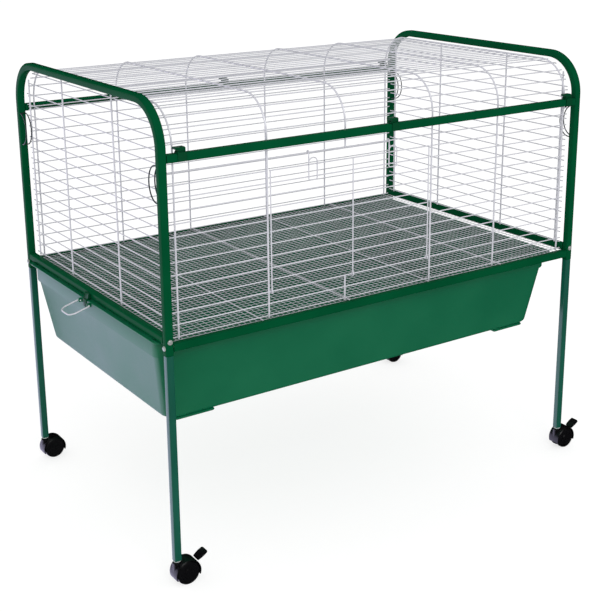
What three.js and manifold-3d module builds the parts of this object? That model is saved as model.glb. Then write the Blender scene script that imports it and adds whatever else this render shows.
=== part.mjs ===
// Wire rabbit cage on a castered stand. Millimetres, +X along the length, +Y to the back, +Z up.
// The floor is z = 0 and the origin is under the middle of the whole object.
import * as THREE from "three";
import { mergeVertices } from "three/addons/utils/BufferGeometryUtils.js";
import Module from "manifold-3d";

// ---------- driving dimensions ----------
const LENGTH = 1050; // between leg centres, along X
const WIDTH = 670; // between leg centres, along Y
const LEG_FOOT = 54; // bottom end of the leg tubes
const LONG_RAIL_Z = 499; // centre of the front and back rails
const END_RAIL_Z = 512; // centre of the left and right rails, so that the corner bolts pass each other
const BAR_Z = 857; // centre of the two long upper bars
const TOP_Z = 957; // centre of the hoops' top runs
const BEND = 85; // hoop bend radius at the tube's centre

const TUBE = 16; // square tube, outside
const TUBE_WALL = 1.2;
const TUBE_ROUND = 3;
const LEG_TUBE = 15.2; // the lower legs are a size smaller
const LEG_JOINT_Z = 484; // where a hoop slips over the spigot of a leg
const SPIGOT = 12.9;
const SPIGOT_LENGTH = 45;
const GAP = 0.3; // between pieces that touch

const PITCH = 24.3; // between the long wires of every panel
const LONG_WIRE = 2.2;
const CROSS_WIRE = 3.4;
const PANEL_INSET = 10.5; // from the tube's centre line to the middle of a panel
const FIRST_WIRE_UP = 12.5; // from a rail's centre to a panel's lowest wire
const CROSS_X = [-497, -296, -112, 112, 296, 497]; // upright wires of the long panels
const CROSS_Y = [-303, -119, 119, 303]; // upright wires of the end panels
const PANEL_HALF = 511; // the long wires run a little past the last upright ones
const FRONT_ROWS = 15;
const END_ROWS = 18;
const ROOF_ROWS = 32;

const DOOR = { left: -290, right: 106, hingeRow: 2, topRow: 12, headerRow: 13 };
const DOOR_WIRE = 2.6;
const HINGE_LOOP = { inner: 2.6, outer: 4.8, width: 5 };
const LATCH_WIRE = 2.4;
const LATCH_WIDTH = 20;

const FLOOR = { z: 505.6, thick: 2.4, rows: 5, wire: 2.4, rod: 2.5, rodCount: 4 };

const TRAY = {
  left: -541, right: 497, half: 316, top: 503, bottom: 325,
  rim: 8, rimThick: 3, band: 38, step: 4, draft: 22, wall: 3, corner: 28, footHeight: 5,
};
const BAIL = { half: 26, reach: 46, wire: 3, droop: 0.28, out: 3.5, down: 7, bore: 2.4 };
const RUNNER = { thick: 1.5, reach: 17, low: 492, length: 980 };

const WHEEL = { radius: 24.5, width: 11, inner: 4.6, trail: 18, axle: 3 };
const HOOD = { inner: 25.8, outer: 28, half: 16.2, web: 3.6 };
const SWIVEL = { boss: 9, stem: 4, stemTop: 76 };
const SOCKET = { size: 12.4, flange: 8, bore: 4.5, top: 80 };
const BOLT = { head: 5.2, headHeight: 3, shank: 2.5, hole: 2.9, length: 21 };

const halfL = LENGTH / 2;
const halfW = WIDTH / 2;
const half = TUBE / 2;

// ---------- materials ----------
const paint = (color, roughness, metalness = 0) =>
  new THREE.MeshStandardMaterial({ color, roughness, metalness });
const FRAME_PAINT = paint(0x0b5a32, 0.32);
const LEG_PAINT = paint(0x17604a, 0.32);
const TRAY_PLASTIC = paint(0x14694a, 0.45);
const CLIP_PLASTIC = paint(0x063d22, 0.4);
const PANEL_WIRE = paint(0xd8dde0, 0.35, 0.4);
const CLIP_WIRE = paint(0x2c3a36, 0.4, 0.4);
const ZINC = paint(0xb9c4be, 0.35, 0.7);
const CASTER_PLASTIC = paint(0x111214, 0.4);
const NYLON = paint(0xa9b5b3, 0.5);

// ---------- solids ----------
const wasm = await Module();
wasm.setup();

function toSolid(geometry) {
  const bare = geometry.index ? geometry.toNonIndexed() : geometry.clone();
  bare.deleteAttribute("normal");
  bare.deleteAttribute("uv");
  const merged = mergeVertices(bare, 1e-4);
  return new wasm.Manifold(
    new wasm.Mesh({
      numProp: 3,
      vertProperties: merged.attributes.position.array,
      triVerts: new Uint32Array(merged.index.array),
    }),
  );
}

function toGeometry(solid) {
  const mesh = solid.getMesh();
  const points = new Float32Array(mesh.numVert * 3);
  for (let i = 0; i < mesh.numVert; i++) {
    points.set(mesh.vertProperties.subarray(i * mesh.numProp, i * mesh.numProp + 3), i * 3);
  }
  return new THREE.BufferGeometry()
    .setAttribute("position", new THREE.BufferAttribute(points, 3))
    .setIndex(new THREE.BufferAttribute(mesh.triVerts, 1));
}

const join = (...geometries) => geometries.map(toSolid).reduce((a, b) => a.add(b));
const joinAll = (geometries) => toGeometry(join(...geometries));
const cut = (geometry, ...tools) => toGeometry(toSolid(geometry).subtract(join(...tools)));

function block(xMin, xMax, yMin, yMax, zMin, zMax) {
  return new THREE.BoxGeometry(xMax - xMin, yMax - yMin, zMax - zMin).translate(
    (xMin + xMax) / 2, (yMin + yMax) / 2, (zMin + zMax) / 2,
  );
}

function rounded(width, height, radius) {
  const x = width / 2;
  const y = height / 2;
  const shape = new THREE.Shape();
  shape.moveTo(-x + radius, -y);
  shape.lineTo(x - radius, -y);
  shape.absarc(x - radius, -y + radius, radius, -Math.PI / 2, 0);
  shape.lineTo(x, y - radius);
  shape.absarc(x - radius, y - radius, radius, 0, Math.PI / 2);
  shape.lineTo(-x + radius, y);
  shape.absarc(-x + radius, y - radius, radius, Math.PI / 2, Math.PI);
  shape.lineTo(-x, -y + radius);
  shape.absarc(-x + radius, -y + radius, radius, Math.PI, 1.5 * Math.PI);
  return shape;
}

function square(size) {
  const s = size / 2;
  return new THREE.Shape([[-s, -s], [s, -s], [s, s], [-s, s]].map(([x, y]) => new THREE.Vector2(x, y)));
}

const extrude = (shape, depth, curveSegments = 3) =>
  new THREE.ExtrudeGeometry(shape, { depth, bevelEnabled: false, curveSegments, steps: 1 });

const polygon = (points) => new THREE.Shape(points.map(([x, y]) => new THREE.Vector2(x, y)));

function rectangle([xMin, xMax], [zMin, zMax]) {
  return polygon([[xMin, zMin], [xMax, zMin], [xMax, zMax], [xMin, zMax]]);
}

// The spaces between a row of wires at the given positions, each of the given width.
function spaces(positions, width) {
  return positions.slice(1).map((at, i) => [positions[i] + width / 2, at - width / 2]);
}

const cells = (columns, rows) => columns.flatMap((column) => rows.map((row) => rectangle(column, row)));

// Flat shapes in the XZ plane, given a thickness in Y.
const upright = (shapes, thickness) =>
  extrude(shapes, thickness).rotateX(Math.PI / 2).translate(0, thickness / 2, 0);

// A flat grille: an outline, less the spaces between its wires.
function grille(outline, openings, thickness = LONG_WIRE) {
  return cut(upright(outline, thickness), upright(openings, thickness + 4));
}

// A square tube along +Z from z = 0, open at both ends.
function tube(length, size = TUBE) {
  const shape = rounded(size, size, TUBE_ROUND);
  const inside = size - 2 * TUBE_WALL;
  shape.holes.push(square(inside));
  return extrude(shape, length, 1);
}

// A wire along a list of points.
function wireAlong(curve, diameter, steps, sides = 3) {
  const section = new THREE.Shape();
  section.absarc(0, 0, diameter / 2, 0, 2 * Math.PI);
  return new THREE.ExtrudeGeometry(section, {
    steps, bevelEnabled: false, curveSegments: sides, extrudePath: curve,
  });
}

function disc(radius, width, segments = 24) {
  return new THREE.CylinderGeometry(radius, radius, width, segments); // along Y
}

// ---------- the scene graph ----------
const cage = new THREE.Group();

function add(name, geometry, material, x = 0, y = 0, z = 0) {
  const mesh = new THREE.Mesh(geometry, material);
  mesh.name = name;
  mesh.position.set(x, y, z);
  cage.add(mesh);
  return mesh;
}

const CORNERS = [
  { name: "front_left", sx: -1, sy: -1 },
  { name: "front_right", sx: 1, sy: -1 },
  { name: "back_left", sx: -1, sy: 1 },
  { name: "back_right", sx: 1, sy: 1 },
];

// ---------- frame ----------
// A closed section carried along stations in the YZ plane. The section's first axis points along
// the station's outward angle and its second along X.
function sweep(section, stations) {
  const count = section.length;
  const points = stations.flatMap(({ y, z, turn }) =>
    section.flatMap((p) => [p.y, y + p.x * Math.cos(turn), z + p.x * Math.sin(turn)]),
  );
  const faces = [];
  for (let s = 0; s + 1 < stations.length; s++) {
    for (let i = 0; i < count; i++) {
      const a = s * count + i;
      const b = s * count + ((i + 1) % count);
      faces.push(a, b, a + count, b, b + count, a + count);
    }
  }
  const last = (stations.length - 1) * count;
  for (let i = 1; i + 1 < count; i++) {
    faces.push(0, i + 1, i, last, last + i, last + i + 1);
  }
  const geometry = new THREE.BufferGeometry();
  geometry.setAttribute("position", new THREE.Float32BufferAttribute(points, 3));
  return geometry.setIndex(faces);
}

// Up one side of a hoop, over the top and down the other.
function hoopPath(bottom) {
  const SEGMENTS = 8;
  const stations = [{ y: -halfW, z: bottom, turn: Math.PI }];
  for (const [centre, from] of [[-halfW + BEND, Math.PI], [halfW - BEND, Math.PI / 2]]) {
    for (let i = 0; i <= SEGMENTS; i++) {
      const turn = from - (i / SEGMENTS) * (Math.PI / 2);
      stations.push({
        y: centre + BEND * Math.cos(turn),
        z: TOP_Z - BEND + BEND * Math.sin(turn),
        turn,
      });
    }
  }
  stations.push({ y: halfW, z: bottom, turn: 0 });
  return stations;
}

function hoop() {
  const inside = TUBE - 2 * TUBE_WALL;
  const outer = sweep(rounded(TUBE, TUBE, TUBE_ROUND).getPoints(1), hoopPath(LEG_JOINT_Z));
  const inner = sweep(square(inside).getPoints(), hoopPath(LEG_JOINT_Z - 5));
  const holes = [-1, 1].flatMap((sy) => [
    boltHole().rotateZ(Math.PI / 2).translate(0, sy * halfW, LONG_RAIL_Z),
    boltHole().translate(0, sy * halfW, END_RAIL_Z),
  ]);
  return cut(outer, inner, ...holes);
}

function boltHole() {
  return disc(BOLT.hole, TUBE + 6, 8);
}

for (const [name, sx] of [["left_hoop", -1], ["right_hoop", 1]]) {
  add(name, hoop(), FRAME_PAINT, sx * halfL);
}

// A lower leg: a tube with a reduced spigot that stands in the hoop.
function leg() {
  const spigotTube = square(SPIGOT);
  spigotTube.holes.push(square(SPIGOT - 2 * TUBE_WALL));
  const body = tube(LEG_JOINT_Z - GAP - LEG_FOOT, LEG_TUBE);
  const spigot = extrude(spigotTube, SPIGOT_LENGTH + 2, 1).translate(0, 0, LEG_JOINT_Z - LEG_FOOT - 2);
  const shoulder = cut(
    block(-7, 7, -7, 7, LEG_JOINT_Z - LEG_FOOT - 3, LEG_JOINT_Z - LEG_FOOT - GAP),
    block(-5, 5, -5, 5, LEG_JOINT_Z - LEG_FOOT - 4, LEG_JOINT_Z - LEG_FOOT + 1),
  );
  const solid = join(body, spigot, shoulder);
  const holeX = boltHole().rotateZ(Math.PI / 2).translate(0, 0, LONG_RAIL_Z - LEG_FOOT);
  const holeY = boltHole().translate(0, 0, END_RAIL_Z - LEG_FOOT);
  return toGeometry(solid.subtract(join(holeX, holeY)));
}

for (const { name, sx, sy } of CORNERS) {
  add(name + "_leg", leg(), LEG_PAINT, sx * halfL, sy * halfW, LEG_FOOT);
}

// Straight members lie between the uprights. A plug at each end takes the corner bolt.
function member(length) {
  const END_PLUG = 12;
  const plugs = [0, length - END_PLUG].map((z) =>
    cut(
      block(-7, 7, -7, 7, z, z + END_PLUG),
      new THREE.CylinderGeometry(BOLT.hole, BOLT.hole, 2 * END_PLUG, 8)
        .rotateX(Math.PI / 2).translate(0, 0, z + END_PLUG / 2),
    ),
  );
  return joinAll([tube(length), ...plugs]).translate(0, 0, -length / 2);
}

const alongLength = LENGTH - TUBE - 2 * GAP;
const alongWidth = WIDTH - TUBE - 2 * GAP;
for (const [side, sy] of [["front", -1], ["back", 1]]) {
  add(side + "_rail", member(alongLength).rotateY(Math.PI / 2), FRAME_PAINT, 0, sy * halfW, LONG_RAIL_Z);
  add(side + "_bar", member(alongLength).rotateY(Math.PI / 2), FRAME_PAINT, 0, sy * halfW, BAR_Z);
}
for (const [side, sx] of [["left", -1], ["right", 1]]) {
  add(side + "_rail", member(alongWidth).rotateX(Math.PI / 2), FRAME_PAINT, sx * halfL, 0, END_RAIL_Z);
}

// A domed bolt along +Y from its head, with the underside of the head at y = 0.
function bolt() {
  const r = BOLT.head;
  const h = BOLT.headHeight;
  const profile = [
    [0, -h], [0.7 * r, -0.75 * h], [r, 0],
    [BOLT.shank, 0], [BOLT.shank, BOLT.length], [0, BOLT.length],
  ];
  return new THREE.LatheGeometry(profile.map(([x, y]) => new THREE.Vector2(x, y)), 8);
}

const boltStandOff = half + GAP;
for (const { name, sx, sy } of CORNERS) {
  const intoLongRail = bolt().rotateZ(sx * Math.PI / 2);
  add(name + "_long_bolt", intoLongRail, ZINC, sx * (halfL + boltStandOff), sy * halfW, LONG_RAIL_Z);
  const intoEndRail = sy < 0 ? bolt() : bolt().rotateZ(Math.PI);
  add(name + "_end_bolt", intoEndRail, ZINC, sx * halfL, sy * (halfW + boltStandOff), END_RAIL_Z);
}

// ---------- wire panels ----------
const panelY = halfW - PANEL_INSET;
const panelX = halfL - PANEL_INSET;
const frontRow = (row) => LONG_RAIL_Z + FIRST_WIRE_UP + row * PITCH;
const endRow = (row) => END_RAIL_Z + FIRST_WIRE_UP + row * PITCH;
const railTop = (z) => z + half + GAP;

// Every second long wire of a panel is built, and with the opening the header above it too.
function longPanel(withOpening) {
  const bottom = railTop(LONG_RAIL_Z);
  const top = frontRow(FRONT_ROWS - 1) + LONG_WIRE / 2;
  const isBuilt = (row) => row % 2 === 0 || (withOpening && row === DOOR.headerRow);
  const rows = [...Array(FRONT_ROWS).keys()].filter(isBuilt);
  const between = (from, to) =>
    spaces(rows.filter((row) => row >= from && row <= to).map(frontRow), LONG_WIRE);
  const columns = spaces(CROSS_X, CROSS_WIRE);
  const beyond = [
    [-PANEL_HALF - 5, columns[0][0] - CROSS_WIRE],
    [columns[4][1] + CROSS_WIRE, PANEL_HALF + 5],
  ];
  const feet = cells([...columns, ...beyond], [[bottom - 5, frontRow(0) - LONG_WIRE / 2]]);
  const openings = [...feet, ...cells(beyond, between(0, FRONT_ROWS))];
  if (withOpening) {
    openings.push(...cells([columns[0], columns[3], columns[4]], between(0, FRONT_ROWS)));
    openings.push(...cells([columns[1], columns[2]], between(0, DOOR.hingeRow)));
    openings.push(...cells([columns[1], columns[2]], between(DOOR.headerRow, FRONT_ROWS)));
    openings.push(
      rectangle(
        [columns[1][0], columns[2][1]],
        [frontRow(DOOR.hingeRow) + LONG_WIRE / 2, frontRow(DOOR.headerRow) - LONG_WIRE / 2],
      ),
    );
  } else {
    openings.push(...cells(columns, between(0, FRONT_ROWS)));
  }
  return grille(rectangle([-PANEL_HALF, PANEL_HALF], [bottom, top]), openings);
}

add("front_panel", longPanel(true), PANEL_WIRE, 0, -panelY, 0);
add("back_panel", longPanel(false), PANEL_WIRE, 0, panelY, 0);

// An end panel's wires end where the hoop's rounded top begins.
function endOutline() {
  const side = panelY - 2;
  const top = TOP_Z - PANEL_INSET;
  const radius = BEND - PANEL_INSET - 2;
  const bottom = railTop(END_RAIL_Z);
  const shape = new THREE.Shape();
  shape.moveTo(-side, bottom);
  shape.lineTo(side, bottom);
  shape.lineTo(side, top - radius);
  shape.absarc(side - radius, top - radius, radius, 0, Math.PI / 2);
  shape.lineTo(-side + radius, top);
  shape.absarc(-side + radius, top - radius, radius, Math.PI / 2, Math.PI);
  return shape;
}

function endPanel() {
  const rows = [...Array(END_ROWS).keys()].filter((row) => row % 2 === 0).map(endRow);
  const below = [railTop(END_RAIL_Z) - 5, rows[0] - LONG_WIRE / 2];
  const above = [rows[rows.length - 1] + LONG_WIRE / 2, TOP_Z];
  const columns = spaces([-halfW, ...CROSS_Y, halfW], CROSS_WIRE);
  const openings = cells(columns, [below, ...spaces(rows, LONG_WIRE), above]);
  return grille(endOutline(), openings).rotateZ(Math.PI / 2);
}

add("left_panel", endPanel(), PANEL_WIRE, -panelX);
add("right_panel", endPanel(), PANEL_WIRE, panelX);

// The roof is a flat grille bent down at both long edges to the height of the bars.
function roofPanel() {
  const radius = BEND - PANEL_INSET;
  const bendZ = TOP_Z - BEND;
  const startZ = BAR_Z;
  const straight = bendZ - startZ;
  const arc = (radius * Math.PI) / 2;
  const flat = WIDTH - 2 * BEND;
  const total = 2 * straight + 2 * arc + flat;
  const pitch = (total - LONG_WIRE) / (ROOF_ROWS - 1);
  const isBuilt = (row) => row < 6 || row > ROOF_ROWS - 7 || row % 4 === 1;
  const rows = [...Array(ROOF_ROWS).keys()].filter(isBuilt).map((row) => LONG_WIRE / 2 + row * pitch);
  const inner = CROSS_X[5] + CROSS_WIRE / 2;
  const columns = [[-PANEL_HALF - 5, -inner], ...spaces(CROSS_X, CROSS_WIRE), [inner, PANEL_HALF + 5]];
  const openings = cells(columns, spaces(rows, LONG_WIRE));
  const outline = rectangle([-PANEL_HALF, PANEL_HALF], [0, total]);
  const geometry = grille(outline, openings).translate(0, 0, -total / 2);
  const points = geometry.attributes.position;
  for (let i = 0; i < points.count; i++) {
    const along = points.getZ(i);
    const out = -points.getY(i);
    const side = Math.sign(along);
    const past = Math.abs(along) - flat / 2;
    const turn = Math.min(Math.max(past, 0), arc) / radius;
    const down = Math.max(past - arc, 0);
    const reach = radius + out;
    const y = Math.min(Math.abs(along), flat / 2) + reach * Math.sin(turn);
    points.setY(i, side * y);
    points.setZ(i, bendZ + reach * Math.cos(turn) - down);
  }
  return geometry;
}

add("roof_panel", roofPanel(), PANEL_WIRE);

// ---------- floor ----------
function floorGrille() {
  const x = halfL - half - 1;
  const y = halfW - half - 1;
  const { z, thick, wire, rod, rodCount, rows } = FLOOR;
  const first = -y + wire / 2;
  const across = [...Array(rows).keys()].map((j) => first - (j * 2 * first) / (rows - 1));
  const openings = cells([[wire - x, x - wire]], spaces(across, wire));
  const grid = grille(rectangle([-x, x], [-y, y]), openings, thick)
    .rotateX(-Math.PI / 2).translate(0, 0, z);
  // The rods lie on the grid and their ends rest on the long rails.
  const reach = halfW - 2;
  const inner = y - 6;
  const rest = railTop(LONG_RAIL_Z);
  const profile = [
    [-reach, rest], [-inner, rest], [-inner, z - 0.4], [inner, z - 0.4], [inner, rest], [reach, rest],
    [reach, rest + rod], [-reach, rest + rod],
  ];
  const rods = [];
  for (let i = 1; i <= rodCount; i++) {
    const at = -halfL + (LENGTH * i) / (rodCount + 1);
    rods.push(
      extrude(polygon(profile), rod).rotateX(Math.PI / 2).rotateZ(Math.PI / 2)
        .translate(at - rod / 2, 0, 0),
    );
  }
  return joinAll([grid, ...rods]);
}

add("floor_grille", floorGrille(), PANEL_WIRE);

// ---------- front door ----------
const doorY = -panelY;
const doorHingeZ = frontRow(DOOR.hingeRow);
const doorCentre = (DOOR.left + DOOR.right) / 2;

function hingeLoop(x) {
  const ring = new THREE.Shape();
  ring.absarc(0, 0, HINGE_LOOP.outer, 0, 2 * Math.PI);
  const bore = new THREE.Path();
  bore.absarc(0, 0, HINGE_LOOP.inner, 0, 2 * Math.PI, true);
  ring.holes.push(bore);
  return extrude(ring, HINGE_LOOP.width, 4).rotateY(Math.PI / 2)
    .translate(x - HINGE_LOOP.width / 2, 0, doorHingeZ);
}

function frontDoor() {
  const inset = DOOR_WIRE / 2;
  const uprights = [DOOR.left + inset, doorCentre, DOOR.right - inset];
  const rows = [];
  for (let row = DOOR.hingeRow + 2; row <= DOOR.topRow; row += 2) {
    rows.push(frontRow(row));
  }
  const bottom = doorHingeZ + HINGE_LOOP.outer - 1;
  const columns = spaces(uprights, DOOR_WIRE);
  const openings = cells(columns, [[bottom - 5, rows[0] - LONG_WIRE / 2], ...spaces(rows, LONG_WIRE)]);
  const outline = rectangle([DOOR.left, DOOR.right], [bottom, frontRow(DOOR.topRow) + LONG_WIRE / 2]);
  return joinAll([grille(outline, openings), ...uprights.map(hingeLoop)]);
}

add("front_door", frontDoor(), PANEL_WIRE, 0, doorY, 0);

// A latch is one bent wire: two legs in front of the door, and a hook over the header wire.
function doorLatch(x) {
  const front = -(LONG_WIRE + LATCH_WIRE) / 2 - GAP;
  const left = x - LATCH_WIDTH / 2;
  const right = x + LATCH_WIDTH / 2;
  const low = frontRow(DOOR.topRow - 1) - 6;
  const hookZ = frontRow(DOOR.headerRow) + 4;
  const shoulder = frontRow(DOOR.topRow) + 7;
  const r = LATCH_WIRE / 2;
  const leg = (at, top) => block(at - r, at + r, front - r, front + r, low - r, top + r);
  const across = (z) => block(left - r, right + r, front - r, front + r, z - r, z + r);
  const hookTop = block(left - r, left + r, front - r, -front + r, hookZ - r, hookZ + r);
  const hookTip = block(left - r, left + r, -front - r, -front + r, hookZ - 6, hookZ + r);
  return joinAll([leg(left, hookZ), leg(right, shoulder), across(low), across(shoulder), hookTop, hookTip]);
}

const bay = (DOOR.right - DOOR.left) / 2;
for (const [side, at] of [["left", DOOR.left + bay / 2], ["right", DOOR.left + 1.5 * bay]]) {
  add(side + "_door_latch", doorLatch(at), PANEL_WIRE, 0, doorY, 0);
}

// ---------- spring clips on the uprights ----------
// Two D-shaped arcs of one wire, standing off the inner face of an upright below the bar.
function springClip(sy) {
  const WIRE = 2.6;
  const DEPTH = 32;
  const HALF_HEIGHT = 35;
  const HALF_SPREAD = 6;
  const MIDDLE = BAR_Z - 47;
  const face = -sy; // inwards
  const arcs = [-1, 1].map((s) => {
    const x = s * HALF_SPREAD;
    const start = WIRE / 2 + 0.4;
    const curve = new THREE.CubicBezierCurve3(
      new THREE.Vector3(x, face * start, HALF_HEIGHT),
      new THREE.Vector3(x, face * (start + 1.33 * (DEPTH - start)), HALF_HEIGHT - 2),
      new THREE.Vector3(x, face * (start + 1.33 * (DEPTH - start)), -HALF_HEIGHT + 20),
      new THREE.Vector3(x, face * start, -HALF_HEIGHT),
    );
    return wireAlong(curve, WIRE, 8);
  });
  const ties = [HALF_HEIGHT, -HALF_HEIGHT].map((z) =>
    block(-HALF_SPREAD - 1.3, HALF_SPREAD + 1.3, face * 2.2 - 1.3, face * 2.2 + 1.3, z - 1.6, z + 1.6),
  );
  return joinAll([...arcs, ...ties]).translate(0, sy * (halfW - half) + face * GAP, MIDDLE);
}

for (const { name, sx, sy } of CORNERS) {
  add(name + "_spring_clip", springClip(sy), CLIP_WIRE, sx * halfL);
}

// ---------- roof clips on the bars ----------
// A hook that sits on the bar with a lip towards -X, and a tongue down the bar's outer face.
function barClip(sy) {
  const shape = new THREE.Shape();
  shape.moveTo(-8, 0);
  shape.lineTo(10, 0);
  shape.lineTo(10, 11);
  shape.lineTo(-12, 11);
  shape.lineTo(-12, 7);
  shape.lineTo(-5, 7);
  shape.lineTo(-8, 3);
  const hook = extrude(shape, 12).rotateX(Math.PI / 2).translate(0, 6, 0);
  const reach = half + GAP + 1.6;
  const shelf = block(-8, 10, Math.min(0, sy * reach), Math.max(0, sy * reach), 0, 2);
  const tongue = block(-8, 10, sy > 0 ? reach - 1.6 : -reach, sy > 0 ? reach : 1.6 - reach, -15, 1);
  return joinAll([hook, shelf, tongue]);
}

const CLIPS = [
  { name: "front_clip_left", x: -halfL + 38, sy: -1 },
  { name: "front_clip_middle", x: 0, sy: -1 },
  { name: "front_clip_right", x: halfL - 30, sy: -1 },
  { name: "back_clip_middle", x: 0, sy: 1 },
  { name: "back_clip_right", x: halfL - 30, sy: 1 },
];
for (const { name, x, sy } of CLIPS) {
  add(name, barClip(sy), CLIP_PLASTIC, x, sy * halfW, BAR_Z + half + GAP);
}

// ---------- tray ----------
const trayMiddle = (TRAY.left + TRAY.right) / 2;
const trayLength = TRAY.right - TRAY.left;

// A closed body between two rounded rectangles, the lower one smaller by inset on every side.
function tapered(length, width, radius, inset, zLow, zHigh) {
  const geometry = extrude(rounded(length, width, radius), zHigh - zLow, 3);
  const points = geometry.attributes.position;
  for (let i = 0; i < points.count; i++) {
    if (points.getZ(i) < 1e-3) {
      points.setX(i, points.getX(i) * (1 - (2 * inset) / length));
      points.setY(i, points.getY(i) * (1 - (2 * inset) / width));
    }
  }
  return geometry.translate(0, 0, zLow);
}

function tray() {
  const { half: halfWide, top, bottom, rim, rimThick, band: bandHeight, step, draft, wall, corner } = TRAY;
  const bodyLength = trayLength - 2 * rim;
  const bodyWidth = 2 * halfWide - 2 * rim;
  const bandLow = top - bandHeight;
  const LAP = 1;
  const outer = join(
    tapered(trayLength, 2 * halfWide, corner * 0.5, 0, top - rimThick, top),
    tapered(bodyLength, bodyWidth, corner, 0, bandLow, top - rimThick + LAP),
    tapered(bodyLength - 2 * step, bodyWidth - 2 * step, corner, draft, bottom, bandLow + LAP),
  );
  const inner = join(
    tapered(bodyLength - 2 * wall, bodyWidth - 2 * wall, corner - wall, 0, bandLow + wall, top + LAP),
    tapered(
      bodyLength - 2 * step - 2 * wall, bodyWidth - 2 * step - 2 * wall,
      corner - wall, draft, bottom + wall, bandLow + wall + LAP,
    ),
  );
  const floorX = bodyLength / 2 - step - draft;
  const floorY = bodyWidth / 2 - step - draft;
  const feet = [-1, 1].flatMap((sx) =>
    [-1, 1].map((sy) => {
      const x = sx * (floorX - 64);
      const y = sy * (floorY - 22);
      return block(x - 44, x + 44, y - 12, y + 12, bottom - TRAY.footHeight, bottom + 1);
    }),
  );
  // Two ears under the left rim, in which the bail turns.
  const earX = TRAY.left - trayMiddle;
  const ears = [-1, 1].map((s) => {
    const y = s * (BAIL.half - 5);
    return block(earX - BAIL.out - 3.5, earX + 3, y - 2, y + 2, top - BAIL.down - 4, top - rimThick + 1);
  });
  const pinHole = disc(BAIL.bore, 4 * BAIL.half, 10).translate(earX - BAIL.out, 0, top - BAIL.down);
  const solid = outer.subtract(inner).add(join(...feet, ...ears));
  return toGeometry(solid.subtract(toSolid(pinHole)));
}

add("tray", tray(), TRAY_PLASTIC, trayMiddle);

// The latch stands on the tray's left rim and snaps against the outer face of the left rail.
const latchX = -halfL - half - GAP;

function trayLatch() {
  const HALF_WIDTH = 9;
  const shape = new THREE.Shape();
  shape.moveTo(0, TRAY.top + GAP);
  shape.lineTo(0, END_RAIL_Z + 3);
  shape.lineTo(-4, END_RAIL_Z + 5);
  shape.lineTo(-6, TRAY.top + 2);
  shape.lineTo(-11, TRAY.top + 1);
  shape.lineTo(-11, TRAY.top - 16);
  shape.lineTo(-TRAY.rim - 0.6, TRAY.top - 16);
  shape.lineTo(-TRAY.rim - 0.6, TRAY.top + GAP);
  return extrude(shape, 2 * HALF_WIDTH).rotateX(Math.PI / 2).translate(0, HALF_WIDTH, 0);
}

add("tray_latch", trayLatch(), CLIP_PLASTIC, latchX);

// A U-shaped wire bail, hinged at the rim on both sides of the latch.
function trayBail() {
  const { half: spread, reach, wire } = BAIL;
  const points = [
    [0, -spread], [-reach + 14, -spread], [-reach, -spread + 14],
    [-reach, spread - 14], [-reach + 14, spread], [0, spread],
  ].map(([x, y]) => new THREE.Vector3(x, y, 0));
  const curve = new THREE.CatmullRomCurve3(points, false, "centripetal");
  const pins = [-1, 1].map((s) =>
    block(-1.5, 1.5, s * spread - 9 * (s > 0) - 1, s * spread + 9 * (s < 0) + 1, -1.5, 1.5),
  );
  return joinAll([wireAlong(curve, wire, 14), ...pins]).rotateY(-BAIL.droop);
}

add("tray_bail", trayBail(), PANEL_WIRE, TRAY.left - BAIL.out, 0, TRAY.top - BAIL.down);

// Angle strips on the inner faces of the long rails carry the tray's rim.
function runner(sy) {
  const { thick, reach, low, length } = RUNNER;
  const face = halfW - half - GAP;
  const high = TRAY.top - TRAY.rimThick - GAP;
  const profile = polygon([
    [sy * face, low], [sy * face, high], [sy * (face - reach), high], [sy * (face - reach), high - thick],
    [sy * (face - thick), high - thick], [sy * (face - thick), low],
  ]);
  return extrude(profile, length).rotateX(Math.PI / 2).rotateZ(Math.PI / 2)
    .translate(-length / 2, 0, 0);
}

add("front_tray_runner", runner(-1), FRAME_PAINT);
add("back_tray_runner", runner(1), FRAME_PAINT);

// ---------- casters ----------
function casterHousing() {
  const { inner, outer, half: halfWide, web } = HOOD;
  const cover = new THREE.Shape();
  cover.absarc(0, 0, outer, -0.35, Math.PI + 0.35);
  cover.absarc(0, 0, inner, Math.PI + 0.35, -0.35, true);
  const side = (shape, width) => extrude(shape, width, 7).rotateX(Math.PI / 2).translate(0, width / 2, 0);
  const webShape = new THREE.Shape();
  webShape.absarc(0, 0, inner + 1, -0.6, Math.PI + 0.6);
  const body = join(side(cover, 2 * halfWide), side(webShape, 2 * web));
  const axleHole = disc(WHEEL.axle + 0.3, 60, 8);
  const boss = new THREE.CylinderGeometry(SWIVEL.boss, SWIVEL.boss, 22, 10).rotateX(Math.PI / 2)
    .translate(-WHEEL.trail, 0, 14);
  const wheelRoom = [-1, 1].map((s) =>
    disc(inner, WHEEL.width + 20, 24).translate(0, s * (web + WHEEL.width / 2 + 10), 0),
  );
  const stem = new THREE.CylinderGeometry(SWIVEL.stem, SWIVEL.stem, 60, 8).rotateX(Math.PI / 2)
    .translate(-WHEEL.trail, 0, SWIVEL.stemTop - WHEEL.radius - 30);
  const solid = body.add(toSolid(boss)).subtract(join(axleHole, ...wheelRoom)).add(toSolid(stem));
  return toGeometry(solid).translate(WHEEL.trail, 0, WHEEL.radius);
}

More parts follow.
